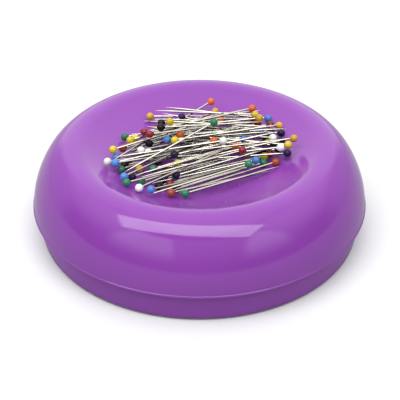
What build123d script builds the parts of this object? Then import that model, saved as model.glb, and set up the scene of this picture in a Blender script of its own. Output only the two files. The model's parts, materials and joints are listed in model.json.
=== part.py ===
from build123d import *
import math
import os

import numpy as np

# Magnetic pin bowl: a shallow dish on a ring base, a magnet under the dish, and a heap of ball-head pins.
# Millimetres, +Z up. The origin is on the table under the middle of the bowl.

# Outer form of the upper shell
bowl_radius = 54.0
widest_height = 8.9
side_round = 28.6
side_sweep = 33.6
shoulder_round = 16.2
shoulder_sweep = 23.0
crest_round = 8.0
dish_floor = 21.4
shell_wall = 2.2
lip_round = 0.5

# Ring base and its floor
parting_height = 10.0
base_radius = 51.8
ring_step = 0.55
base_edge_round = 1.0
floor_wall = 2.0
tongue_height = 2.0
tongue_wall = 1.2
seat_clearance = 0.12

# Posts, screws and feet
foot_radius = 5.5
foot_drop = 0.5
foot_recess = 0.9
foot_plug_height = 2.0
foot_count = 4
post_circle = 41.0
post_radius = 3.5
sleeve_wall = 0.9
sleeve_top = 8.0
sleeve_web = 2.0
screw_radius = 1.25
screw_head_radius = 2.6
screw_head_height = 1.7
screw_slot_width = 0.6
screw_slot_depth = 0.7
base_screw_reach = 9.0
carrier_screw_reach = 6.0
pilot_clearance = 0.05
pilot_spare = 1.5
pass_clearance = 0.35

# Magnet, its two steel pole plates and the tray that clamps them under the dish
magnet_length = 40.0
magnet_width = 22.0
magnet_height = 10.0
pole_plate_thickness = 3.0
magnet_gap = 0.3
foam_thickness = 2.0
foam_inset = 1.0
tray_wall = 1.6
tray_clearance = 0.15
ear_thickness = 2.0
ear_radius = 4.0
ear_reach = 31.0
ear_top = 14.0

# Ball-head pins
pin_length = 34.6
pin_radius = 0.31
pin_taper_length = 6.0
head_radius = 1.26
pin_sides = 6
lay_clearance = 0.06
lay_rise = 0.15
lay_search = 2.5
heap_limit = 45.0
change_rise = 0.8
swing_share = 0.15
steepest_share = 0.2
slope_count = 15
swings = (0, 1.5, -1.5, 3, -3)
nudges_px = [(0, 0), (1.3, 0), (-1.3, 0), (0, 1.3), (0, -1.3), (0, -2.6)]
parallel_share = 1e-6
nearest_passes = 3

# Where the picture of the heap was taken from. Sight lines through picture points give the pins' places.
view_distance = 350.0
view_aim_height = 12.0
view_tilt = 33.4
view_focal_px = 1067.0
view_middle_px = (199.5, 190.0)

# One overrun for every cut
overrun = 1.0

# The heap, lowest pins first: colour, centre of the head, and a point that the shaft passes over.
heap_px = [
    ("navy", (128.5, 160.5), (165.0, 150.0)),
    ("black", (137.0, 146.5), (172.0, 140.0)),
    ("rust", (157.5, 127.5), (195.0, 127.0)),
    ("navy", (165.5, 171.5), (200.0, 161.0)),
    ("black", (159.0, 186.0), (195.0, 176.0)),
    ("blue", (171.5, 132.0), (205.0, 129.0)),
    ("navy", (157.5, 160.5), (193.0, 151.0)),
    ("navy", (271.0, 131.5), (232.0, 129.5)),
    ("black", (266.0, 137.5), (225.0, 138.5)),
    ("red", (253.0, 118.5), (215.0, 119.5)),
    ("navy", (281.5, 141.0), (240.0, 142.5)),
    ("rust", (270.0, 153.5), (232.0, 158.5)),
    ("green", (247.0, 127.5), (208.0, 125.0)),
    ("navy", (256.0, 152.5), (218.0, 160.5)),
    ("black", (161.2, 123.0), (196.0, 119.5)),
    ("navy", (132.3, 177.3), (165.0, 166.5)),
    ("green", (141.4, 181.9), (176.0, 170.5)),
    ("black", (124.6, 165.1), (160.0, 158.5)),
    ("amber", (139.6, 168.6), (172.0, 157.0)),
    ("red", (169.9, 184.0), (203.0, 175.0)),
    ("navy", (176.8, 188.2), (212.0, 178.5)),
    ("green", (263.3, 162.6), (228.0, 172.0)),
    ("navy", (274.5, 144.4), (226.0, 146.5)),
    ("navy", (263.0, 151.0), (216.0, 154.0)),
    ("yellow", (267.7, 144.0), (225.0, 143.0)),
    ("blue", (243.9, 139.5), (205.0, 133.0)),
    ("green", (234.2, 140.2), (200.0, 138.5)),
    ("orange", (211.0, 101.6), (174.4, 123.7)),
    ("red", (209.1, 118.3), (184.0, 128.5)),
    ("amber", (215.1, 111.4), (180.0, 126.0)),
    ("orange", (220.2, 120.5), (190.0, 131.0)),
    ("blue", (259.8, 131.5), (163.5, 113.5)),
    ("yellow", (135.4, 138.4), (171.0, 130.5)),
    ("black", (149.1, 143.3), (185.0, 138.0)),
    ("orange", (252.1, 108.4), (229.0, 114.0)),
    ("yellow", (255.1, 114.6), (158.6, 110.5)),
    ("amber", (259.5, 118.1), (224.0, 121.5)),
    ("blue", (268.2, 119.8), (218.0, 115.5)),
    ("red", (258.0, 123.3), (222.0, 121.8)),
    ("red", (270.5, 124.9), (240.5, 128.2)),
    ("amber", (279.1, 128.2), (216.0, 127.5)),
    ("navy", (281.3, 134.5), (217.0, 131.5)),
    ("white", (272.9, 137.7), (216.0, 135.8)),
    ("navy", (181.7, 116.8), (130.0, 150.6)),
    ("green", (121.3, 169.3), (158.0, 158.0)),
    ("white", (107.5, 161.7), (150.0, 154.0)),
    ("blue", (115.2, 163.0), (145.0, 158.0)),
    ("blue", (116.1, 155.6), (150.0, 147.5)),
    ("rust", (122.7, 151.0), (156.0, 142.0)),
    ("green", (124.8, 137.0), (141.0, 133.3)),
    ("yellow", (130.2, 140.2), (163.0, 131.5)),
    ("red", (144.2, 132.1), (180.0, 125.5)),
    ("red", (149.7, 132.8), (186.0, 127.0)),
    ("amber", (150.0, 118.9), (185.0, 119.8)),
    ("yellow", (169.7, 121.6), (206.0, 124.5)),
    ("black", (279.0, 150.2), (233.5, 145.8)),
    ("white", (280.6, 146.1), (234.0, 150.2)),
    ("yellow", (288.2, 144.7), (236.0, 140.5)),
    ("navy", (287.5, 153.1), (239.0, 155.2)),
    ("yellow", (264.2, 157.7), (228.0, 167.0)),
    ("blue", (255.9, 160.2), (220.0, 169.5)),
    ("yellow", (113.0, 149.6), (145.6, 138.4)),
    ("navy", (164.2, 179.1), (200.0, 168.0)),
    ("navy", (175.8, 174.2), (210.0, 163.5)),
    ("green", (153.1, 168.9), (190.0, 159.0)),
    ("orange", (169.1, 164.7), (202.0, 156.5)),
    ("yellow", (177.7, 161.9), (211.0, 153.0)),
    ("navy", (174.5, 154.5), (206.0, 147.5)),
    ("green", (248.6, 164.0), (190.0, 182.0)),
    ("rust", (275.7, 161.9), (241.9, 171.3)),
    ("blue", (124.1, 176.6), (170.2, 153.5)),
    ("blue", (150.9, 191.0), (170.0, 186.0)),
    ("rust", (171.0, 192.8), (205.0, 184.0)),
    ("white", (141.0, 150.3), (178.0, 143.0)),
    ("white", (148.5, 152.4), (184.0, 146.0)),
    ("blue", (167.0, 139.5), (200.0, 137.0)),
    ("orange", (179.8, 133.5), (214.0, 131.5)),
    ("black", (160.7, 127.5), (196.0, 125.0)),
    ("blue", (156.3, 134.5), (175.0, 134.2)),
    ("yellow", (174.7, 140.2), (206.0, 135.5)),
    ("orange", (213.9, 140.7), (180.0, 147.0)),
    ("white", (223.3, 140.9), (190.0, 145.0)),
    ("orange", (235.6, 147.9), (202.0, 157.5)),
    ("green", (126.7, 182.6), (175.8, 168.6)),
    ("white", (139.1, 187.9), (159.6, 177.7)),
]

# Pins that lie on top, where one can be lifted off alone: name, colour, head and a point under the shaft
loose_px = {
    "front": ("green", (185.1, 193.5), (280.5, 165.8)),
    "right": ("amber", (294.0, 138.4), (228.0, 144.4)),
    "middle": ("red", (242.5, 150.3), (206.0, 160.0)),
    "top": ("green", (213.9, 122.3), (173.0, 146.4)),
}


class Bow:
    """One arc of the shell's section: its centre, its outer radius and the two angles it runs between."""

    def __init__(self, middle, radius, start, end):
        self.middle = middle
        self.radius = radius
        self.start = start
        self.end = end

    def at(self, angle, depth=0.0):
        reach = self.radius - depth
        return (
            self.middle[0] + reach * math.cos(math.radians(angle)),
            self.middle[1] + reach * math.sin(math.radians(angle)),
        )

    def after(self, radius, sweep):
        """The next arc along the skin, which leaves this one without a corner."""
        lean = math.radians(self.end)
        shift = self.radius - radius
        middle = (
            self.middle[0] + shift * math.cos(lean),
            self.middle[1] + shift * math.sin(lean),
        )
        return Bow(middle, radius, self.end, self.end + sweep)

    def angle_at_height(self, height, depth=0.0):
        return math.degrees(math.asin((height - self.middle[1]) / (self.radius - depth)))

    def edge(self, depth=0.0, start=None):
        first = self.start if start is None else start
        return ThreePointArc(
            self.at(first, depth), self.at((first + self.end) / 2, depth), self.at(self.end, depth)
        )


side = Bow((bowl_radius - side_round, widest_height), side_round, 0, side_sweep)
shoulder = side.after(shoulder_round, shoulder_sweep)
crest = shoulder.after(crest_round, 0)
crest_radius = crest.middle[0]
crest_height = crest.middle[1] + crest_round

# The dish is part of a ball that meets the crest's inner side without a corner.
crest_rise = dish_floor - crest.middle[1]
dish_round = (crest_radius**2 + crest_rise**2 - crest_round**2) / (2 * (crest_round - crest_rise))
dish_middle = dish_floor + dish_round
dish_lean = math.degrees(math.atan2(crest_radius, dish_middle - crest.middle[1]))
crest.end = 90 + dish_lean


def dish_height(radius, depth=0.0):
    """Height of the dish at a distance from the axis, or of the skin a depth above it or below it."""
    ball = dish_round - depth
    edge = ball * math.sin(math.radians(dish_lean))
    bend = crest_round + depth
    inner = dish_middle - np.sqrt(np.maximum(ball**2 - np.minimum(radius, edge) ** 2, 0))
    across = np.clip(crest_radius - radius, 0, crest_radius - edge)
    return np.where(radius < edge, inner, crest.middle[1] + np.sqrt(np.maximum(bend**2 - across**2, 0)))


def skin(depth, height):
    """Section line of the upper shell from a height at its lip to the axis, a depth inside its surface."""
    low = side.angle_at_height(height, depth)
    lean = math.radians(dish_lean / 2)
    ball = dish_round + depth
    rim = crest.at(crest.end, depth)
    halfway = (ball * math.sin(lean), dish_middle - ball * math.cos(lean))
    floor = (0, dish_floor - depth)
    return [
        side.edge(depth, low),
        shoulder.edge(depth),
        crest.edge(depth),
        ThreePointArc(rim, halfway, floor),
    ]


def turned(lines):
    """A body turned about the bowl's axis from its section."""
    return revolve(Plane.XZ * make_face(lines), Axis.Z)


def column(radius, low, high, place=(0, 0)):
    """A round post between two heights."""
    return Pos(place[0], place[1], (low + high) / 2) * Cylinder(radius, high - low)


def block(length, width, low, high, place=(0, 0)):
    """A square block between two heights."""
    return Pos(place[0], place[1], (low + high) / 2) * Box(length, width, high - low)


foot_places = [
    (
        post_circle * math.cos(math.radians(angle)),
        post_circle * math.sin(math.radians(angle)),
    )
    for angle in (360 / foot_count * (n + 0.5) for n in range(foot_count))
]
ear_places = [(sign * ear_reach, 0) for sign in (-1, 1)]
pilot_radius = screw_radius + pilot_clearance
pass_radius = screw_radius + pass_clearance
counterbore_radius = screw_head_radius + pass_clearance
sleeve_radius = counterbore_radius + sleeve_wall
sleeve_web_bottom = sleeve_top - sleeve_web


def top_shell():
    """Dish, crest and side in one moulding, with posts for the screws hanging from its underside."""
    outside = skin(0, parting_height)
    inside = skin(shell_wall, parting_height)
    lip = Line(inside[0] @ 0, outside[0] @ 0)
    axis = Line(outside[-1] @ 1, inside[-1] @ 1)
    shell = turned([*outside, axis, *inside, lip])
    lip_edges = shell.edges().filter_by(GeomType.CIRCLE).group_by(Axis.Z)[0]
    shell = fillet(lip_edges.sort_by(lambda edge: edge.radius)[-1], lip_round)
    solid_skin = skin(shell_wall / 2, parting_height)
    low = solid_skin[0] @ 0
    foot = [Line((0, low.Y), low), Line((0, dish_floor - shell_wall / 2), (0, low.Y))]
    room = turned([*solid_skin, *foot]) + column(bowl_radius - shell_wall, 0, low.Y)
    for place in foot_places:
        shell += column(post_radius, sleeve_top, crest_height, place) & room
    for place in ear_places:
        shell += column(post_radius, ear_top, crest_height, place) & room
    base_pilot_top = sleeve_top + base_screw_reach + pilot_spare
    carrier_pilot_top = ear_top + carrier_screw_reach + pilot_spare
    for place in foot_places:
        shell -= column(pilot_radius, sleeve_top - overrun, base_pilot_top, place)
    for place in ear_places:
        shell -= column(pilot_radius, ear_top - overrun, carrier_pilot_top, place)
    return shell


def base_cover():
    """Ring wall under the parting line with its floor, a tongue inside the lip and a sleeve at each post."""
    lip_inside = side.at(side.angle_at_height(parting_height + tongue_height, shell_wall), shell_wall)[0]
    tongue_outside = lip_inside - seat_clearance
    wall_inside = tongue_outside - tongue_wall
    ring_radius = bowl_radius - ring_step
    floor_top = foot_drop + floor_wall
    corners = [
        (0, foot_drop),
        (base_radius, foot_drop),
        (ring_radius, parting_height),
        (tongue_outside, parting_height),
        (tongue_outside, parting_height + tongue_height),
        (wall_inside, parting_height + tongue_height),
        (wall_inside, floor_top),
        (0, floor_top),
    ]
    cover = turned(Polyline(*corners, close=True).edges())
    bottom = cover.edges().filter_by(GeomType.CIRCLE).group_by(Axis.Z)[0]
    cover = fillet(bottom.sort_by(lambda edge: edge.radius)[-1], base_edge_round)
    for place in foot_places:
        cover += column(sleeve_radius, floor_top, sleeve_top, place)
    for place in foot_places:
        cover -= column(foot_radius + seat_clearance, foot_drop - overrun, foot_drop + foot_recess, place)
        cover -= column(counterbore_radius, foot_drop, sleeve_web_bottom, place)
        cover -= column(pass_radius, foot_drop, sleeve_top + overrun, place)
    return cover


def screw(seat, reach, place):
    """A slotted pan-head screw driven upwards, its head under a seat height."""
    head = column(screw_head_radius, seat - screw_head_height, seat, place)
    slot_top = seat - screw_head_height + screw_slot_depth
    slot_length = 2 * (screw_head_radius + overrun)
    head -= block(slot_length, screw_slot_width, seat - screw_head_height - overrun, slot_top, place)
    return head + column(screw_radius, seat, seat + reach, place)


def rubber_foot(place):
    """A flat foot in its recess, with a plug that closes the screw's counterbore."""
    top = foot_drop + foot_recess
    plug_radius = counterbore_radius - seat_clearance
    return column(foot_radius, 0, top, place) + column(plug_radius, 0, top + foot_plug_height, place)


magnet_top = dish_floor - shell_wall - magnet_gap
magnet_bottom = magnet_top - magnet_height
foam_bottom = magnet_bottom - foam_thickness
tray_bottom = foam_bottom - tray_wall


def magnet_block():
    return block(magnet_length, magnet_width, magnet_bottom, magnet_top)


def pole_plate(sign):
    """A steel plate on one end of the magnet, standing up to the underside of the dish."""
    middle = sign * (magnet_length + pole_plate_thickness) / 2
    top = float(dish_height(magnet_length / 2, -shell_wall)) - magnet_gap
    return block(pole_plate_thickness, magnet_width, magnet_bottom, top, (middle, 0))


def foam_pad():
    return block(magnet_length - foam_inset, magnet_width - foam_inset, foam_bottom, magnet_bottom)


def magnet_carrier():
    """Open tray round the magnet, with an ear on each side that is screwed to a post of the shell."""
    room_length = magnet_length + 2 * (pole_plate_thickness + tray_clearance)
    room_width = magnet_width + 2 * tray_clearance
    tray = block(room_length + 2 * tray_wall, room_width + 2 * tray_wall, tray_bottom, ear_top)
    tray = fillet(tray.edges().filter_by(Axis.Z), tray_wall)
    ear_bottom = ear_top - ear_thickness
    tray += block(2 * ear_reach, 2 * ear_radius, ear_bottom, ear_top)
    for place in ear_places:
        tray += column(ear_radius, ear_bottom, ear_top, place)
    tray -= block(room_length, room_width, foam_bottom, ear_top + overrun)
    for place in ear_places:
        tray -= column(pass_radius, ear_bottom - overrun, ear_top + overrun, place)
    return tray


# A ball with flat facets: the flats of a cube, its edges and its corners are all cut to the same width.
flat_share = (1 + math.sqrt(2)) / math.sqrt(5 + 2 * math.sqrt(2))
corner_share = math.sqrt(2) / (1 + math.sqrt(2)) / 2
flat_distance = head_radius * flat_share


def pin_head():
    cube = Box(2 * flat_distance, 2 * flat_distance, 2 * flat_distance)
    return chamfer(cube.edges(), 2 * flat_distance * corner_share)


def pin_shaft():
    """A six-sided wire along X from the head's flat to where it tapers, and its point."""
    taper_start = pin_length - pin_taper_length
    section = Plane.YZ * RegularPolygon(pin_radius, pin_sides)
    wire = extrude(Pos(flat_distance, 0, 0) * section, taper_start - flat_distance)
    point = loft([(Pos(taper_start, 0, 0) * section).face(), Vertex(pin_length, 0, 0)])
    return wire + point


def sight(points_px, height):
    """Plan places at a height that are seen at picture points."""
    tilt = math.radians(view_tilt)
    across, down = ((np.asarray(points_px) - view_middle_px) / view_focal_px).T
    eye = np.array([0, -view_distance * math.cos(tilt), view_aim_height + view_distance * math.sin(tilt)])
    fall = math.sin(tilt) + down * math.cos(tilt)
    reach = (eye[2] - height) / fall
    ahead = math.cos(tilt) - down * math.sin(tilt)
    return np.column_stack([eye[0] + across * reach, eye[1] + ahead * reach])


def tries():
    """All small changes that a pin's place may take: nudges in the picture, swings aside and slopes."""
    slopes = np.linspace(-steepest_share, steepest_share, slope_count)
    return np.array([
        (across, down, math.radians(swing), slope)
        for across, down in nudges_px
        for swing in swings
        for slope in slopes
    ])


def length_of(vectors):
    return np.linalg.norm(vectors, axis=-1)


class Heap:
    """Pins laid one by one, each as low as it fits on the dish and among the pins that are there already."""

    def __init__(self):
        self.heads = np.empty((0, 3))
        self.ways = np.empty((0, 3))
        self.tries = tries()

    def clear(self, heads, ways, on_top):
        """Which of the pins offered, by their heads' middles and their directions, touch no laid pin."""
        gap = heads[:, None, :] - self.heads
        mine = (gap * ways[:, None, :]).sum(axis=2)
        theirs = (gap * self.ways).sum(axis=2)
        cosine = ways @ self.ways.T
        along = np.clip((cosine * theirs - mine) / np.maximum(1 - cosine**2, parallel_share), 0, pin_length)
        for _ in range(nearest_passes):
            other = np.clip(theirs + cosine * along, 0, pin_length)
            along = np.clip(cosine * other - mine, 0, pin_length)
        beside_head = np.clip(theirs, 0, pin_length)
        beside_theirs = np.clip(-mine, 0, pin_length)
        start = np.zeros_like(along)
        free = np.ones(len(heads), dtype=bool)
        for on_mine, on_theirs, least in (
            (along, other, 2 * pin_radius),
            (start, beside_head, head_radius + pin_radius),
            (beside_theirs, start, head_radius + pin_radius),
            (start, start, 2 * head_radius),
        ):
            apart = gap + on_mine[..., None] * ways[:, None, :] - on_theirs[..., None] * self.ways
            near = length_of(apart) < least + lay_clearance
            if on_top:
                near |= (length_of(apart[..., :2]) < least + lay_clearance) & (apart[..., 2] < 0)
            free &= ~near.any(axis=1)
        return free

    def offered(self, head_px, aim_px, height):
        """Pins with their heads at a height on the sight line, for every small change."""
        nudges, swings_to, slopes = self.tries[:, :2], self.tries[:, 2], self.tries[:, 3]
        starts = sight(np.array(head_px) + nudges, height)
        aims = np.array(aim_px) + nudges
        span = length_of(sight(aims, height) - starts)
        spans = sight(aims, height + slopes * span) - starts
        turned_to = np.arctan2(spans[:, 1], spans[:, 0]) + swings_to
        ways = np.column_stack([np.cos(turned_to), np.sin(turned_to), slopes])
        heads = np.column_stack([starts, np.full(len(starts), height)])
        return heads, ways / length_of(ways)[:, None]

    def lay(self, head_px, aim_px, on_top=False):
        """Lays a pin where its two ends lie lowest over the dish, as near as can be to its picture points."""
        swung = np.abs(np.degrees(self.tries[:, 2]))
        changed = change_rise * (length_of(self.tries[:, :2]) + swing_share * swung)
        best, lowest = None, math.inf
        height = dish_floor + head_radius
        while height < heap_limit and (best is None or height < best[0][2] + lay_search):
            heads, ways = self.offered(head_px, aim_px, height)
            tips = heads + pin_length * ways
            head_rise = height - dish_height(length_of(heads[:, :2]), head_radius + lay_clearance)
            tip_rise = tips[:, 2] - dish_height(length_of(tips[:, :2]), pin_radius + lay_clearance)
            cost = head_rise + tip_rise + changed
            picks = np.flatnonzero((head_rise >= 0) & (tip_rise >= 0) & (cost < lowest))
            picks = picks[self.clear(heads[picks], ways[picks], on_top)]
            if len(picks):
                pick = picks[cost[picks].argmin()]
                best, lowest = (heads[pick], ways[pick]), cost[pick]
            height += lay_rise
        head_at, way = best
        self.heads = np.vstack([self.heads, head_at])
        self.ways = np.vstack([self.ways, way])
        flat = math.hypot(way[0], way[1])
        up = (-way[2] * way[0] / flat, -way[2] * way[1] / flat, flat)
        return Plane(origin=tuple(head_at), x_dir=tuple(way), z_dir=up)


nodes = {
    "top_shell": top_shell(),
    "base_cover": base_cover(),
    "magnet_block": magnet_block(),
    "pole_plate_left": pole_plate(-1),
    "pole_plate_right": pole_plate(1),
    "foam_pad": foam_pad(),
    "magnet_carrier": magnet_carrier(),
    "carrier_screws": [
        screw(ear_top - ear_thickness, ear_thickness + carrier_screw_reach, place) for place in ear_places
    ],
    "base_screws": [
        screw(sleeve_web_bottom, sleeve_web + base_screw_reach, place) for place in foot_places
    ],
    "feet": [rubber_foot(place) for place in foot_places],
}

heap = Heap()
shaft = pin_shaft()
head = pin_head()
nodes["heap_shafts"] = []
for colour, head_px, aim_px in heap_px:
    plane = heap.lay(head_px, aim_px)
    nodes["heap_shafts"].append(plane * shaft)
    nodes.setdefault(f"heads_{colour}", []).append(plane * head)
for name, (colour, head_px, aim_px) in loose_px.items():
    plane = heap.lay(head_px, aim_px, on_top=True)
    nodes[f"{name}_pin_shaft"] = plane * shaft
    nodes[f"{name}_pin_head"] = plane * head

os.makedirs("parts", exist_ok=True)
for name, solids in nodes.items():
    pieces = solids if isinstance(solids, list) else [solids]
    found = [solid for piece in pieces for solid in piece.solids()]
    export_step(Compound(found) if len(found) > 1 else found[0], f"parts/{name}.step")
print("crest", round(crest_radius, 2), round(crest_height, 2), "dish ball", round(dish_round, 2))
print("pins", len(heap.heads), "highest head", round(float(heap.heads[:, 2].max()), 2))
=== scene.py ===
import json
import math

import bmesh
import bpy
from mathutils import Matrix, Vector
from mathutils.kdtree import KDTree


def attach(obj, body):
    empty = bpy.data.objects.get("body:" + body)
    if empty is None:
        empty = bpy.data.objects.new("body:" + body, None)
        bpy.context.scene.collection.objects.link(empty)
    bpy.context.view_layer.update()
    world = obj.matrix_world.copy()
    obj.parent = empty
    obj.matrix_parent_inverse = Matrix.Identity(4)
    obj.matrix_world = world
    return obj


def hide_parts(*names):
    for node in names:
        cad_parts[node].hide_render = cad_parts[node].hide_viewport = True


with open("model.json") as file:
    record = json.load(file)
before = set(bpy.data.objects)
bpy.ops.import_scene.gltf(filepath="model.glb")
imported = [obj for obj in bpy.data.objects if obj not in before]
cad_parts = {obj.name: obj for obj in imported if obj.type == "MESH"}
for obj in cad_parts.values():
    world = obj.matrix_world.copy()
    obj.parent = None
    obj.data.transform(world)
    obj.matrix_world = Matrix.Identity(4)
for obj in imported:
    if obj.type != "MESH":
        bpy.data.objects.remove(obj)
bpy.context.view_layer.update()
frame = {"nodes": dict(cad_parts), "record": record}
nodes = frame["nodes"]
MM = 0.001

# The same sizes as the solids, in millimetres and degrees
bowl_radius = 54.0
widest_height = 8.9
side_round = 28.6
side_sweep_deg = 33.6
shoulder_round = 16.2
shoulder_sweep_deg = 23.0
crest_round = 8.0
dish_floor = 21.4
shell_wall = 2.2
lip_round = 0.5
parting_height = 10.0
base_radius = 51.8
ring_step = 0.55
base_edge_round = 1.0
floor_wall = 2.0
tongue_height = 2.0
tongue_wall = 1.2
seat_clearance = 0.12
foot_radius = 5.5
foot_drop = 0.5
foot_recess = 0.9
foot_count = 4
post_circle = 41.0
pin_length = 34.6
pin_radius = 0.31
pin_taper = 6.0
head_radius = 1.26

# Small forms that only the scene has, in millimetres and degrees
bead_out = 0.23
bead_turn_deg = 60
edge_soft = 0.18
edge_lean_deg = 8
foot_edge = 0.35
recess_overrun = 1.0
head_neck = 0.45

# Directions in a section, in degrees
facing_down, facing_out, facing_up = -90, 0, 90

# Steps that make the round stretches smooth
turn_steps = 192
side_steps = 26
shoulder_steps = 14
crest_steps = 18
dish_steps = 30
bead_steps = 10
base_edge_steps = 8
ring_edge_steps = 4
foot_edge_steps = 5
recess_turn_steps = 64
foot_turn_steps = 72
wire_steps = 30
wire_sides = 10
ball_segments = 20
ball_rings = 14

# Edges turning by more than this stay sharp, in degrees
sharp_edge_deg = 32

# What counts as on the axis, in millimetres, and as one place, in metres
on_axis = 1e-6
same_place = 1e-7

# Sides of a wire in the solids
shaft_sides = 6

# Shape of a pin: how its point thins, and where on the ball the neck and the flat begin
taper_power = 0.72
point_share = 0.03
neck_from = 0.9
flat_from = 0.94
flat_share = 0.16

# First seeds of chance for the wires and for the heads, and what is added for their shade
wire_seed = 11
ball_seed = 31
shade_seed = 7

# The stretch of a noise that is put to use
noise_low, noise_high = 0.3, 0.7


# Shapes


def arc(middle, radius, start, end, steps):
    """Points of an arc in the section, angles in degrees."""
    found = []
    for n in range(steps + 1):
        angle = math.radians(start + (end - start) * n / steps)
        found.append((middle[0] + radius * math.cos(angle), middle[1] + radius * math.sin(angle)))
    return found


def next_middle(middle, radius, angle, new_radius):
    """Middle of the arc that follows without a corner."""
    lean = math.radians(angle)
    shift = radius - new_radius
    return (middle[0] + shift * math.cos(lean), middle[1] + shift * math.sin(lean))


side_middle = (bowl_radius - side_round, widest_height)
shoulder_middle = next_middle(side_middle, side_round, side_sweep_deg, shoulder_round)
crest_start = side_sweep_deg + shoulder_sweep_deg
crest_middle = next_middle(shoulder_middle, shoulder_round, crest_start, crest_round)
crest_rise = dish_floor - crest_middle[1]
dish_round = (crest_middle[0] ** 2 + crest_rise**2 - crest_round**2) / (2 * (crest_round - crest_rise))
dish_middle = dish_floor + dish_round
dish_lean = math.degrees(math.atan2(crest_middle[0], dish_middle - crest_middle[1]))


def skin(depth, low):
    """Section of the upper shell from a height at its lip to the axis, a depth inside its surface."""
    start = math.degrees(math.asin((low - widest_height) / (side_round - depth)))
    points = arc(side_middle, side_round - depth, start, side_sweep_deg, side_steps)
    shoulder_there, crest_there = shoulder_round - depth, crest_round - depth
    points += arc(shoulder_middle, shoulder_there, side_sweep_deg, crest_start, shoulder_steps)[1:]
    points += arc(crest_middle, crest_there, crest_start, facing_up + dish_lean, crest_steps)[1:]
    ball = dish_round + depth
    for n in range(1, dish_steps + 1):
        lean = math.radians(dish_lean * (1 - n / dish_steps))
        points.append((ball * math.sin(lean), dish_middle - ball * math.cos(lean)))
    return points


def lathe(name, outline, steps=turn_steps):
    """A closed body turned from a section in millimetres; points on the axis become one vertex."""
    mesh = bpy.data.meshes.new(name)
    verts, rings, faces = [], [], []
    for radius, height in outline:
        if radius < on_axis:
            rings.append([len(verts)])
            verts.append((0, 0, height * MM))
            continue
        rings.append(list(range(len(verts), len(verts) + steps)))
        for n in range(steps):
            angle = 2 * math.pi * n / steps
            verts.append((radius * MM * math.cos(angle), radius * MM * math.sin(angle), height * MM))
    pairs = list(zip(rings, rings[1:]))
    if len(rings[0]) > 1:
        pairs.append((rings[-1], rings[0]))
    for low, high in pairs:
        for n in range(steps):
            m = (n + 1) % steps
            if len(low) == 1 and len(high) == 1:
                break
            if len(low) == 1:
                faces.append((low[0], high[m], high[n]))
            elif len(high) == 1:
                faces.append((low[n], low[m], high[0]))
            else:
                faces.append((low[n], low[m], high[m], high[n]))
    mesh.from_pydata(verts, [], faces)
    piece = bpy.data.objects.new(name, mesh)
    bpy.context.scene.collection.objects.link(piece)
    bm = bmesh.new()
    bm.from_mesh(mesh)
    bmesh.ops.recalc_face_normals(bm, faces=bm.faces)
    bm.to_mesh(mesh)
    bm.free()
    return piece


def smooth(piece, degrees=sharp_edge_deg):
    """Smooth shading that keeps the edges sharper than an angle."""
    mesh = piece.data
    mesh.shade_smooth()
    mesh.set_sharp_from_angle(angle=math.radians(degrees))


def applied(piece):
    """The piece with its modifiers worked into its mesh."""
    graph = bpy.context.evaluated_depsgraph_get()
    graph.update()
    mesh = bpy.data.meshes.new_from_object(piece.evaluated_get(graph), depsgraph=graph)
    piece.modifiers.clear()
    old = piece.data
    piece.data = mesh
    bpy.data.meshes.remove(old)
    mesh.name = piece.name
    return piece


def top_shell():
    """Dish, crest and side, with the thin round bead that catches the light along the lip."""
    corner = parting_height + lip_round
    outside = skin(0, corner + lip_round * math.sin(math.radians(bead_turn_deg)))
    inside = skin(shell_wall, parting_height)
    widest = skin(0, corner)[0][0]
    bead_middle = (widest - lip_round + bead_out, corner)
    rounding = arc(bead_middle, lip_round, facing_down, bead_turn_deg, bead_steps)[:-1]
    return lathe("bowl_shell", rounding + outside + inside[::-1])


def foot_shift(number):
    """The way from the axis to one of the feet, in metres."""
    angle = 2 * math.pi * (number + 0.5) / foot_count
    return Vector((post_circle * MM * math.cos(angle), post_circle * MM * math.sin(angle), 0))


def at_feet(name, outline, steps):
    """One turned body at each foot, with its place in its mesh."""
    made = []
    for number in range(foot_count):
        piece = lathe(name, outline, steps)
        for vertex in piece.data.vertices:
            vertex.co += foot_shift(number)
        made.append(piece)
    return made


def base_cover():
    """Ring wall under the parting line with its floor, and the tongue inside the lip."""
    inside = side_round - shell_wall
    top = parting_height + tongue_height
    lean = math.asin((top - widest_height) / inside)
    tongue_outside = side_middle[0] + inside * math.cos(lean) - seat_clearance
    wall_inside = tongue_outside - tongue_wall
    floor_top = foot_drop + floor_wall
    low_middle = (base_radius - base_edge_round, foot_drop + base_edge_round)
    high_middle = (bowl_radius - ring_step - edge_soft, parting_height - edge_soft)
    outline = [(0, foot_drop)]
    outline += arc(low_middle, base_edge_round, facing_down, edge_lean_deg, base_edge_steps)
    outline += arc(high_middle, edge_soft, edge_lean_deg, facing_up, ring_edge_steps)
    outline += [(tongue_outside, parting_height), (tongue_outside, top), (wall_inside, top)]
    outline += [(wall_inside, floor_top), (0, floor_top)]
    cover = lathe("bowl_base", outline)
    low, high = foot_drop - recess_overrun, foot_drop + foot_recess
    wide = foot_radius + seat_clearance
    cutters = at_feet("recess", [(0, low), (wide, low), (wide, high), (0, high)], recess_turn_steps)
    for cutter in cutters:
        cut = cover.modifiers.new("recess", "BOOLEAN")
        cut.operation = "DIFFERENCE"
        cut.solver = "EXACT"
        cut.object = cutter
    applied(cover)
    for cutter in cutters:
        bpy.data.objects.remove(cutter)
    return cover


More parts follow.
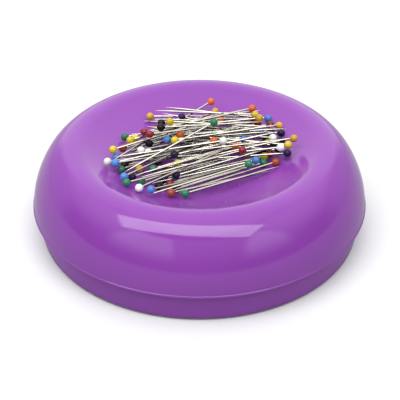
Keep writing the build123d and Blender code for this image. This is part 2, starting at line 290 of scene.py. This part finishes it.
def feet():
    """Four flat feet with softly rounded edges, joined in one mesh."""
    top = foot_drop + foot_recess
    edge_middle = (foot_radius - foot_edge, foot_edge)
    outline = [(0, 0)] + arc(edge_middle, foot_edge, facing_down, facing_out, foot_edge_steps)
    outline += [(foot_radius, top), (0, top)]
    bm = bmesh.new()
    for pad in at_feet("pad", outline, foot_turn_steps):
        bm.from_mesh(pad.data)
        bpy.data.objects.remove(pad)
    mesh = bpy.data.meshes.new("bowl_feet")
    bm.to_mesh(mesh)
    bm.free()
    piece = bpy.data.objects.new("bowl_feet", mesh)
    bpy.context.scene.collection.objects.link(piece)
    return piece


# Reading the pins' places


def islands(node):
    """Lists of the separate solids' corner places in a CAD node, in metres."""
    bm = bmesh.new()
    bm.from_mesh(nodes[node].data)
    bmesh.ops.remove_doubles(bm, verts=bm.verts, dist=same_place)
    seen, found = set(), []
    for vertex in bm.verts:
        if vertex in seen:
            continue
        group, wait = [], [vertex]
        seen.add(vertex)
        while wait:
            now = wait.pop()
            group.append(now.co.copy())
            for edge in now.link_edges:
                other = edge.other_vert(now)
                if other not in seen:
                    seen.add(other)
                    wait.append(other)
        found.append(group)
    bm.free()
    return found


def pins_of(node):
    """Head middle and direction of every pin whose shaft is in a node."""
    found = []
    for group in islands(node):
        middle = sum(group, Vector()) / len(group)
        tip = max(group, key=lambda place: (place - middle).length)
        far = sorted(group, key=lambda place: -(place - tip).length)[:shaft_sides]
        start = sum(far, Vector()) / len(far)
        way = (tip - start).normalized()
        found.append((tip - way * pin_length * MM, way))
    return found


shaft_nodes = [name for name in nodes if name == "heap_shafts" or name.endswith("_pin_shaft")]
head_nodes = [name for name in nodes if name.startswith("heads_") or name.endswith("_pin_head")]
pins = {name: pins_of(name) for name in shaft_nodes}
every_pin = [pin for name in shaft_nodes for pin in pins[name]]
tree = KDTree(len(every_pin))
for number, (place, way) in enumerate(every_pin):
    tree.insert(place, number)
tree.balance()


def heads_of(node):
    """Head middle and direction for every head in a node."""
    found = []
    for group in islands(node):
        middle = sum(group, Vector()) / len(group)
        found.append(every_pin[tree.find(middle)[1]])
    return found


# Geometry nodes for what repeats


class Graph:
    """A little help for building node trees: add a node with its inputs set, then link sockets."""

    def __init__(self, tree):
        self.tree = tree

    def add(self, kind, settings=None, **inputs):
        node = self.tree.nodes.new(kind)
        for key, value in (settings or {}).items():
            setattr(node, key, value)
        for key, value in inputs.items():
            self.put(node.inputs[key.replace("_", " ")], value)
        return node

    def put(self, socket, value):
        if isinstance(value, bpy.types.NodeSocket):
            self.tree.links.new(value, socket)
        elif isinstance(value, bpy.types.Node):
            self.tree.links.new(value.outputs[0], socket)
        else:
            socket.default_value = value

    def math(self, operation, *values, clamp=False):
        node = self.tree.nodes.new("ShaderNodeMath")
        node.operation = operation
        node.use_clamp = clamp
        for socket, value in zip(node.inputs, values):
            self.put(socket, value)
        return node.outputs[0]


def scatter_tree(name, sockets):
    """A geometry tree with named inputs; returns it with its input and output nodes."""
    tree = bpy.data.node_groups.new(name, "GeometryNodeTree")
    tree.interface.new_socket("Geometry", in_out="OUTPUT", socket_type="NodeSocketGeometry")
    tree.interface.new_socket("Geometry", in_out="INPUT", socket_type="NodeSocketGeometry")
    for label, kind in sockets:
        tree.interface.new_socket(label, in_out="INPUT", socket_type=kind)
    graph = Graph(tree)
    return graph, tree.nodes.new("NodeGroupInput"), tree.nodes.new("NodeGroupOutput")


def stand_on_points(graph, source, goal, piece_geometry):
    """Sets the piece on every point along its direction, each turned about itself by a seeded chance.

    Two attributes go to the materials: a chance for each pin, and how far a place faces upwards, which the
    wire material uses for its painted shade underneath.
    """
    way = graph.add("GeometryNodeInputNamedAttribute", {"data_type": "FLOAT_VECTOR"}, Name="way")
    turned = graph.add("FunctionNodeAlignRotationToVector", {"axis": "Z"}, Vector=way)
    spin = graph.add("FunctionNodeRandomValue", {"data_type": "FLOAT"})
    graph.put(spin.inputs[3], 2 * math.pi)
    graph.put(spin.inputs["Seed"], source.outputs["Seed"])
    about = graph.add("FunctionNodeAxisAngleToRotation", Angle=spin.outputs[1])
    about.inputs["Axis"].default_value = (0, 0, 1)
    both = graph.add("FunctionNodeRotateRotation", {"rotation_space": "LOCAL"},
                     Rotation=turned, Rotate_By=about)
    placed = graph.add("GeometryNodeInstanceOnPoints", Points=source.outputs["Geometry"],
                       Instance=piece_geometry, Rotation=both)
    shade = graph.add("FunctionNodeRandomValue", {"data_type": "FLOAT"})
    graph.put(shade.inputs["Seed"], graph.math("ADD", source.outputs["Seed"], shade_seed))
    kept = graph.add("GeometryNodeStoreNamedAttribute", {"data_type": "FLOAT", "domain": "INSTANCE"},
                     Geometry=placed, Name="chance", Value=shade.outputs[1])
    real = graph.add("GeometryNodeRealizeInstances", Geometry=kept)
    normal = graph.add("ShaderNodeSeparateXYZ", Vector=graph.add("GeometryNodeInputNormal"))
    facing = graph.add("GeometryNodeStoreNamedAttribute", {"data_type": "FLOAT", "domain": "POINT"},
                       Geometry=real, Name="upward", Value=normal.outputs["Z"])
    last = graph.add("GeometryNodeSetMaterial", Geometry=facing, Material=source.outputs["Material"])
    graph.put(goal.inputs[0], last)


def shaft_tree():
    """A drawn wire with its long slender point, on every point."""
    graph, source, goal = scatter_tree("pin_wires", [
        ("Length", "NodeSocketFloat"), ("Radius", "NodeSocketFloat"), ("Taper", "NodeSocketFloat"),
        ("Sides", "NodeSocketInt"), ("Seed", "NodeSocketInt"), ("Material", "NodeSocketMaterial"),
    ])
    end = graph.add("ShaderNodeCombineXYZ", Z=source.outputs["Length"])
    line = graph.add("GeometryNodeCurvePrimitiveLine", End=end)
    fine = graph.add("GeometryNodeResampleCurve", Curve=line, Count=wire_steps)
    factor = graph.add("GeometryNodeSplineParameter")
    left_share = graph.math("SUBTRACT", 1, factor.outputs["Factor"])
    left = graph.math("MULTIPLY", left_share, source.outputs["Length"])
    share = graph.math("DIVIDE", left, source.outputs["Taper"], clamp=True)
    slender = graph.math("MAXIMUM", graph.math("POWER", share, taper_power), point_share)
    width = graph.math("MULTIPLY", slender, source.outputs["Radius"])
    ring = graph.add("GeometryNodeCurvePrimitiveCircle", Resolution=source.outputs["Sides"], Radius=1)
    tube = graph.add("GeometryNodeCurveToMesh", Curve=fine, Profile_Curve=ring, Scale=width,
                     Fill_Caps=True)
    even = graph.add("GeometryNodeSetShadeSmooth", Geometry=tube)
    stand_on_points(graph, source, goal, even)
    return graph.tree


def head_tree():
    """A moulded ball with a short neck where the wire goes in and a small flat where it was fed."""
    graph, source, goal = scatter_tree("pin_heads", [
        ("Radius", "NodeSocketFloat"), ("Neck", "NodeSocketFloat"), ("Seed", "NodeSocketInt"),
        ("Material", "NodeSocketMaterial"),
    ])
    ball = graph.add("GeometryNodeMeshUVSphere", Segments=ball_segments, Rings=ball_rings,
                     Radius=source.outputs["Radius"])
    place = graph.add("GeometryNodeInputPosition")
    parts = graph.add("ShaderNodeSeparateXYZ", Vector=place)
    toward = graph.math("DIVIDE", parts.outputs["Z"], source.outputs["Radius"])
    past_neck = graph.math("SUBTRACT", toward, neck_from)
    near = graph.math("DIVIDE", past_neck, 1 - neck_from, clamp=True)
    pulled = graph.math("MULTIPLY", graph.math("MULTIPLY", near, near), source.outputs["Neck"])
    past_flat = graph.math("SUBTRACT", graph.math("MULTIPLY", toward, -1), flat_from)
    behind = graph.math("DIVIDE", past_flat, 1 - flat_from, clamp=True)
    pressed = graph.math("MULTIPLY", behind, graph.math("MULTIPLY", source.outputs["Neck"], flat_share))
    shift = graph.add("ShaderNodeCombineXYZ", Z=graph.math("ADD", pulled, pressed))
    shaped = graph.add("GeometryNodeSetPosition", Geometry=ball.outputs["Mesh"], Offset=shift)
    even = graph.add("GeometryNodeSetShadeSmooth", Geometry=shaped)
    stand_on_points(graph, source, goal, even)
    return graph.tree


def scattered(name, tree, places, values):
    """A mesh made by a geometry tree from a list of places and directions."""
    mesh = bpy.data.meshes.new(name)
    mesh.from_pydata([place for place, way in places], [], [])
    ways = mesh.attributes.new("way", "FLOAT_VECTOR", "POINT")
    for number, (place, way) in enumerate(places):
        ways.data[number].vector = way
    piece = bpy.data.objects.new(name, mesh)
    bpy.context.scene.collection.objects.link(piece)
    modifier = piece.modifiers.new("scatter", "NODES")
    modifier.node_group = tree
    for item in tree.interface.items_tree:
        if item.in_out == "INPUT" and item.name in values:
            modifier[item.identifier] = values[item.name]
    return applied(piece)


# Materials


def group(name, inputs, outputs):
    """A shader group with named sockets."""
    tree = bpy.data.node_groups.new(name, "ShaderNodeTree")
    for label, value in inputs:
        socket = tree.interface.new_socket(label, in_out="INPUT", socket_type="NodeSocketFloat")
        socket.default_value = value
    for label in outputs:
        tree.interface.new_socket(label, in_out="OUTPUT", socket_type="NodeSocketFloat")
    return Graph(tree), tree.nodes.new("NodeGroupInput"), tree.nodes.new("NodeGroupOutput")


def handled():
    """Marks that handling leaves on a smooth surface: soft smudges and short fine scratches."""
    smudge_low, smudge_high = 0.42, 0.68
    scratch_low, scratch_high = 0.70, 0.76
    bend_size, bend_share = 35, 0.012
    scratch_stretch, scratch_turn = (1, 0.05, 1), (0, 0, 0.6)
    graph, source, goal = group(
        "handled", [("Smudge Size", 90), ("Scratch Size", 700)], ["Smudge", "Scratch"]
    )
    place = graph.add("ShaderNodeTexCoord").outputs["Object"]
    cloud = graph.add("ShaderNodeTexNoise", Vector=place, Scale=source.outputs["Smudge Size"],
                      Detail=4, Roughness=0.6)
    soft = ranged_smooth(graph, cloud.outputs["Fac"], smudge_low, smudge_high)
    bent = graph.add("ShaderNodeTexNoise", Vector=place, Scale=bend_size, Detail=2)
    moved = graph.add("ShaderNodeMix", {"data_type": "VECTOR"})
    graph.put(moved.inputs[0], bend_share)
    graph.put(moved.inputs[4], place)
    graph.put(moved.inputs[5], bent.outputs["Color"])
    stretched = graph.add("ShaderNodeMapping", Vector=moved.outputs[1])
    stretched.inputs["Scale"].default_value = scratch_stretch
    stretched.inputs["Rotation"].default_value = scratch_turn
    line = graph.add("ShaderNodeTexNoise", Vector=stretched, Scale=source.outputs["Scratch Size"], Detail=1)
    thin = ranged(graph, line.outputs["Fac"], scratch_low, scratch_high, 0, 1)
    graph.put(goal.inputs["Smudge"], soft)
    graph.put(goal.inputs["Scratch"], thin)
    return graph.tree


def material(name):
    """A new material with its shader, and help for adding to it."""
    made = bpy.data.materials.new(name)
    made.use_nodes = True
    graph = Graph(made.node_tree)
    return made, graph, made.node_tree.nodes["Principled BSDF"]


def mixed(graph, share, low, high):
    """A colour between two colours."""
    mix = graph.add("ShaderNodeMix", {"data_type": "RGBA"})
    graph.put(mix.inputs[0], share)
    graph.put(mix.inputs[6], low)
    graph.put(mix.inputs[7], high)
    return mix.outputs[2]


def ranged(graph, value, low, high, new_low, new_high):
    """A value carried from one range to another."""
    node = graph.add("ShaderNodeMapRange", Value=value, From_Min=low, From_Max=high,
                     To_Min=new_low, To_Max=new_high)
    return node.outputs[0]


def grained(graph, noise, new_low, new_high):
    """The useful stretch of a noise carried to a new range."""
    return ranged(graph, noise.outputs["Fac"], noise_low, noise_high, new_low, new_high)


def ranged_smooth(graph, value, low, high):
    """0 under the low value, 1 over the high one, smooth between."""
    node = graph.add("ShaderNodeMapRange", {"interpolation_type": "SMOOTHSTEP"},
                     Value=value, From_Min=low, From_Max=high)
    return node.outputs[0]


def rgb(red, green, blue):
    """A colour from the 0 to 255 numbers of a screen, with full opacity."""
    def linear(level):
        share = level / 255
        return share / 12.92 if share <= 0.04045 else ((share + 0.055) / 1.055) ** 2.4
    return (linear(red), linear(green), linear(blue), 1)


def moulded(name, colour, deep, rough, ripple):
    """Glossy moulded plastic: faint flow in the colour, smudges, a low ripple, and a dish worn by pins."""
    worn_from, worn_to = 30 * MM, 40 * MM
    worn_low, worn_high = 16 * MM, 20 * MM
    smudge_dulls, wear_dulls, scratch_dulls, scratch_depth = 0.05, 0.10, 0.10, 0.12
    flow_size, ripple_size, ripple_height = 28, 130, 0.0002
    made, graph, shader = material(name)
    place = graph.add("ShaderNodeTexCoord").outputs["Object"]
    marks = graph.add("ShaderNodeGroup", {"node_tree": HANDLED})
    flow = graph.add("ShaderNodeTexNoise", Vector=place, Scale=flow_size, Detail=3, Roughness=0.55)
    graph.put(shader.inputs["Base Color"], mixed(graph, grained(graph, flow, 0, 1), colour, deep))
    parts = graph.add("ShaderNodeSeparateXYZ", Vector=place)
    squares = [graph.math("POWER", parts.outputs[axis], 2) for axis in ("X", "Y")]
    across = graph.math("SQRT", graph.math("ADD", *squares))
    within = graph.math("SUBTRACT", 1, ranged_smooth(graph, across, worn_from, worn_to))
    above = ranged_smooth(graph, parts.outputs["Z"], worn_low, worn_high)
    worn = graph.math("MULTIPLY", graph.math("MULTIPLY", within, above), wear_dulls)
    smudged = ranged(graph, marks.outputs["Smudge"], 0, 1, rough, rough + smudge_dulls)
    scratched = graph.math("MULTIPLY", marks.outputs["Scratch"], scratch_dulls)
    graph.put(shader.inputs["Roughness"], graph.math("ADD", graph.math("ADD", smudged, worn), scratched))
    shader.inputs["IOR"].default_value = 1.5
    wave = graph.add("ShaderNodeTexNoise", Vector=place, Scale=ripple_size, Detail=1)
    cut = graph.math("MULTIPLY", marks.outputs["Scratch"], scratch_depth)
    height = graph.math("SUBTRACT", wave.outputs["Fac"], cut)
    bump = graph.add("ShaderNodeBump", Height=height, Strength=ripple, Distance=ripple_height)
    graph.put(shader.inputs["Normal"], bump)
    return made


def wire_metal(name):
    """Bright plated wire with painted shade on its underside, duller patches, and a tarnish that differs
    pin by pin.
    """
    # The third colour is painted shade, not a tarnish: it darkens each wire where its surface faces down
    clean, aged, painted_shade_colour = rgb(232, 228, 217), rgb(180, 173, 156), rgb(46, 43, 40)
    painted_shade_from, painted_shade_to = -0.30, 0.60
    grain_size, grain_height, grain_depth, least_tarnish = 420, 0.00002, 0.04, 0.35
    rough_low, rough_high = 0.09, 0.16
    made, graph, shader = material(name)
    place = graph.add("ShaderNodeTexCoord").outputs["Object"]
    chance = graph.add("ShaderNodeAttribute", {"attribute_name": "chance"}).outputs["Fac"]
    upward = graph.add("ShaderNodeAttribute", {"attribute_name": "upward"}).outputs["Fac"]
    grain = graph.add("ShaderNodeTexNoise", Vector=place, Scale=grain_size, Detail=1)
    tarnish = graph.math("MULTIPLY", chance, grained(graph, grain, least_tarnish, 1), clamp=True)
    # Painted shade: the colour goes dark as the surface turns downwards, standing in for the shade under
    # the wires
    painted_light_share = ranged_smooth(graph, upward, painted_shade_from, painted_shade_to)
    graph.put(shader.inputs["Base Color"], mixed(graph, painted_light_share, painted_shade_colour, mixed(graph, tarnish, clean, aged)))
    graph.put(shader.inputs["Roughness"], grained(graph, grain, rough_low, rough_high))
    shader.inputs["Metallic"].default_value = 1
    bump = graph.add("ShaderNodeBump", Height=grain.outputs["Fac"], Strength=grain_depth,
                     Distance=grain_height)
    graph.put(shader.inputs["Normal"], bump)
    return made


def head_plastic(name, colour, gloss):
    """Glossy ball plastic: pin by pin a little lighter or darker, with cloudy pigment."""
    darker, lighter, least_light = 0.66, 1.12, 0.006
    chance_share, cloud_size, cloud_height, cloud_depth = 0.6, 700, 0.0001, 0.03
    rough_low, rough_high = 0.06, 0.12
    made, graph, shader = material(name)
    place = graph.add("ShaderNodeTexCoord").outputs["Object"]
    chance = graph.add("ShaderNodeAttribute", {"attribute_name": "chance"}).outputs["Fac"]
    cloud = graph.add("ShaderNodeTexNoise", Vector=place, Scale=cloud_size, Detail=2)
    dark = tuple(level * darker for level in colour[:3]) + (1,)
    light = tuple(min(level * lighter + least_light, 1) for level in colour[:3]) + (1,)
    by_pin = graph.math("MULTIPLY", chance, chance_share)
    by_cloud = graph.math("MULTIPLY", cloud.outputs["Fac"], 1 - chance_share)
    graph.put(shader.inputs["Base Color"], mixed(graph, graph.math("ADD", by_pin, by_cloud), dark, light))
    graph.put(shader.inputs["Roughness"], grained(graph, cloud, rough_low, rough_high))
    shader.inputs["Specular IOR Level"].default_value = gloss
    bump = graph.add("ShaderNodeBump", Height=cloud.outputs["Fac"], Strength=cloud_depth,
                     Distance=cloud_height)
    graph.put(shader.inputs["Normal"], bump)
    return made


def plain(name, low, high, size, rough, metallic=0.0, grain=0.3, depth=0.0001, stretch=(1, 1, 1)):
    """A material of two near colours in a grain that also sets gloss and relief."""
    made, graph, shader = material(name)
    place = graph.add("ShaderNodeTexCoord").outputs["Object"]
    pulled = graph.add("ShaderNodeMapping", Vector=place)
    pulled.inputs["Scale"].default_value = stretch
    noise = graph.add("ShaderNodeTexNoise", Vector=pulled, Scale=size, Detail=5, Roughness=0.65)
    graph.put(shader.inputs["Base Color"], mixed(graph, grained(graph, noise, 0, 1), low, high))
    graph.put(shader.inputs["Roughness"], grained(graph, noise, *rough))
    shader.inputs["Metallic"].default_value = metallic
    bump = graph.add("ShaderNodeBump", Height=noise.outputs["Fac"], Strength=grain, Distance=depth)
    graph.put(shader.inputs["Normal"], bump)
    return made


HANDLED = handled()
purple = moulded("purple_plastic", rgb(138, 65, 166), rgb(134, 62, 162), rough=0.08, ripple=0.03)
steel = wire_metal("pin_steel")
rubber = plain("foot_rubber", rgb(52, 50, 50), rgb(64, 62, 62), size=900, rough=(0.62, 0.8))
ferrite = plain("ferrite", rgb(52, 52, 55), rgb(70, 70, 72), size=1400, rough=(0.45, 0.7))
plate = plain("plate_steel", rgb(150, 152, 154), rgb(176, 178, 180), size=500, rough=(0.28, 0.42),
              metallic=1.0, stretch=(1, 0.05, 1))
zinc = plain("screw_steel", rgb(178, 178, 170), rgb(196, 196, 190), size=800, rough=(0.25, 0.4),
             metallic=1.0)
foam = plain("foam", rgb(60, 60, 64), rgb(84, 84, 88), size=2200, rough=(0.85, 0.95), grain=0.8,
             depth=0.0004)
inner = plain("inner_plastic", rgb(128, 128, 132), rgb(140, 140, 144), size=1600, rough=(0.45, 0.6))
head_colours = {
    "amber": rgb(208, 160, 46),
    "black": rgb(5, 6, 6),
    "blue": rgb(76, 132, 205),
    "green": rgb(30, 120, 84),
    "navy": rgb(24, 18, 58),
    "orange": rgb(220, 104, 26),
    "red": rgb(136, 14, 30),
    "rust": rgb(160, 66, 38),
    "white": rgb(250, 250, 247),
    "yellow": rgb(220, 196, 34),
}
dark_heads = ("black", "navy")
dark_gloss, light_gloss = 0.25, 0.45
heads = {
    colour: head_plastic("head_" + colour, value, dark_gloss if colour in dark_heads else light_gloss)
    for colour, value in head_colours.items()
}
slot_of = {part["node"]: part["material_slot"] for part in frame["record"]["subparts"]}
bodies = frame["record"]["behaviour"]["bodies"]
body_of = {node: body for body, members in bodies.items() for node in members}


# Pieces


def dressed(piece, made, node):
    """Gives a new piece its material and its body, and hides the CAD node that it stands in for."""
    piece.data.materials.clear()
    piece.data.materials.append(made)
    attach(piece, body_of[node])
    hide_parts(node)


shell = top_shell()
smooth(shell)
base = base_cover()
smooth(base)
pads = feet()
smooth(pads)
wires, balls = shaft_tree(), head_tree()
wire_pieces = {}
for seed, node in enumerate(shaft_nodes):
    wire_pieces[node] = scattered("wires_" + node, wires, pins[node], {
        "Length": pin_length * MM, "Radius": pin_radius * MM, "Taper": pin_taper * MM,
        "Sides": wire_sides, "Seed": wire_seed + seed, "Material": steel,
    })
ball_pieces = {}
for seed, node in enumerate(head_nodes):
    ball_pieces[node] = scattered("balls_" + node, balls, heads_of(node), {
        "Radius": head_radius * MM, "Neck": head_neck * MM, "Seed": ball_seed + seed,
        "Material": heads[slot_of[node].replace("head_", "")],
    })

dressed(shell, purple, "top_shell")
dressed(base, purple, "base_cover")
dressed(pads, rubber, "feet")
for node, piece in wire_pieces.items():
    dressed(piece, steel, node)
for node, piece in ball_pieces.items():
    dressed(piece, heads[slot_of[node].replace("head_", "")], node)

# Pieces out of sight keep their solids and get a material
kept = {
    "magnet_block": ferrite,
    "pole_plate_left": plate,
    "pole_plate_right": plate,
    "foam_pad": foam,
    "magnet_carrier": inner,
    "carrier_screws": zinc,
    "base_screws": zinc,
}
for node, made in kept.items():
    nodes[node].data.materials.clear()
    nodes[node].data.materials.append(made)


# Floor, light and camera

floor_reach = 6
paper_grain = 60
paper_low, paper_high = rgb(226, 227, 227), rgb(228, 229, 229)
paper_bounce = rgb(172, 173, 173)
floor_corners = [(-1, -1), (1, -1), (1, 1), (-1, 1)]
floor_mesh = bpy.data.meshes.new("floor")
floor_points = [(x * floor_reach, y * floor_reach, 0) for x, y in floor_corners]
floor_mesh.from_pydata(floor_points, [], [(0, 1, 2, 3)])
floor = bpy.data.objects.new("floor", floor_mesh)
bpy.context.scene.collection.objects.link(floor)
floor_made, graph, shader = material("floor_paper")
place = graph.add("ShaderNodeTexCoord").outputs["Object"]
paper = graph.add("ShaderNodeTexNoise", Vector=place, Scale=paper_grain, Detail=3)
white = mixed(graph, paper.outputs["Fac"], paper_low, paper_high)
seen = graph.add("ShaderNodeLightPath").outputs["Is Camera Ray"]
graph.put(shader.inputs["Base Color"], mixed(graph, seen, paper_bounce, white))
shader.inputs["Roughness"].default_value = 0.9
shader.inputs["Specular IOR Level"].default_value = 0.1
floor_mesh.materials.append(floor_made)


# The studio by direction: how far across, back and up each part begins and is full, as shares of 1.
# A white sheet stands behind, a white ceiling above, dimmer flanks beside, and on the camera's side
# a card with a darker gap in its middle. The levels are strengths of light, and the card has its
# extra over the gap.
sheet_start, sheet_edge, beside_share = (0.0, 0.40), (0.40, 0.60), 0.4
ceiling_start = (0.80, 0.92)
flank_edge, flank_bottom, flank_front, flank_share = (0.30, 0.55), (0.15, 0.75), (-0.60, -0.30), 0.85
card_depth, card_bottom, card_top = (-0.50, -0.36), (0.12, 0.48), (0.68, 0.74)
gap_middle, gap_edge = 0.10, (0.34, 0.42)
sheet_level, gap_level, card_extra, room_level = 1.25, 0.40, 1.3, 0.05

# Height that the soft light is aimed at, in millimetres
light_aim = 20.0


def studio():
    """Soft studio light all round, white where the camera looks past the bowl."""
    world = bpy.data.worlds.new("studio")
    bpy.context.scene.world = world
    world.use_nodes = True
    graph = Graph(world.node_tree)
    light = world.node_tree.nodes["Background"]
    way = graph.add("ShaderNodeSeparateXYZ", Vector=graph.add("ShaderNodeTexCoord").outputs["Generated"])
    aside, back, lift = way.outputs["X"], way.outputs["Y"], way.outputs["Z"]

    def dark_past(value, start, end):
        return graph.math("SUBTRACT", 1, ranged_smooth(graph, value, start, end))

    off_middle = graph.math("ABSOLUTE", aside)
    past_sheet = ranged_smooth(graph, off_middle, *sheet_edge)
    in_sheet = graph.math("SUBTRACT", 1, graph.math("MULTIPLY", past_sheet, 1 - beside_share))
    backdrop = graph.math("MULTIPLY", ranged_smooth(graph, back, *sheet_start), in_sheet)
    flank = graph.math("MULTIPLY", ranged_smooth(graph, off_middle, *flank_edge),
                       ranged_smooth(graph, lift, *flank_bottom))
    flank = graph.math("MULTIPLY", flank, ranged_smooth(graph, back, *flank_front))
    bright = graph.math("MAXIMUM", backdrop, ranged_smooth(graph, lift, *ceiling_start))
    bright = graph.math("MAXIMUM", bright, graph.math("MULTIPLY", flank, flank_share))
    band = graph.math("MULTIPLY", ranged_smooth(graph, lift, *card_bottom), dark_past(lift, *card_top))
    on_card = graph.math("MULTIPLY", dark_past(back, *card_depth), band)
    off_gap = graph.math("ABSOLUTE", graph.math("SUBTRACT", aside, gap_middle))
    sides = ranged_smooth(graph, off_gap, *gap_edge)
    cards = graph.math("ADD", graph.math("MULTIPLY", sides, card_extra), gap_level)
    level = graph.math("ADD", graph.math("MULTIPLY", bright, sheet_level), room_level)
    level = graph.math("ADD", level, graph.math("MULTIPLY", on_card, cards))
    seen = graph.add("ShaderNodeLightPath").outputs["Is Camera Ray"]
    unseen = graph.math("MULTIPLY", level, graph.math("SUBTRACT", 1, seen))
    graph.put(light.inputs["Strength"], graph.math("ADD", unseen, seen))
    light.inputs["Color"].default_value = (1.0, 1.0, 1.0, 1)


def softbox(name, bearing, height, distance, wide, tall, radiance):
    """A soft light that faces the bowl; bearing 0 is the camera's side, and positive is to the right."""
    lamp = bpy.data.lights.new(name, "AREA")
    lamp.shape = "RECTANGLE"
    lamp.size = wide
    lamp.size_y = tall
    lamp.energy = radiance * math.pi * wide * tall
    holder = bpy.data.objects.new(name, lamp)
    bpy.context.scene.collection.objects.link(holder)
    angle, lift = math.radians(bearing), math.radians(height)
    flat = math.cos(lift)
    place = Vector((math.sin(angle) * flat, -math.cos(angle) * flat, math.sin(lift))) * distance
    holder.location = place
    holder.rotation_euler = (Vector((0, 0, light_aim * MM)) - place).to_track_quat("-Z", "Y").to_euler()


studio()
softbox("main_softbox", bearing=-12, height=66, distance=1.0, wide=1.44, tall=0.42, radiance=4.25)

# The camera in millimetres, with what is read from the picture in its pixels
view_distance = 350.0
view_aim = 12.0
view_tilt_deg = 33.4
view_width_px = 400
view_focal_px = 1067
view_shift_px = (0.5, -10.0)
film_width = 36
tilt = math.radians(view_tilt_deg)
lens = bpy.data.cameras.new("camera")
lens.sensor_width = film_width
lens.lens = view_focal_px / view_width_px * film_width
lens.shift_x = view_shift_px[0] / view_width_px
lens.shift_y = view_shift_px[1] / view_width_px
camera = bpy.data.objects.new("camera", lens)
bpy.context.scene.collection.objects.link(camera)
view_height = view_aim + view_distance * math.sin(tilt)
camera.location = (0, -view_distance * MM * math.cos(tilt), view_height * MM)
camera.rotation_euler = (math.pi / 2 - tilt, 0, 0)
bpy.context.scene.camera = camera
bpy.context.scene.view_settings.view_transform = "Standard"
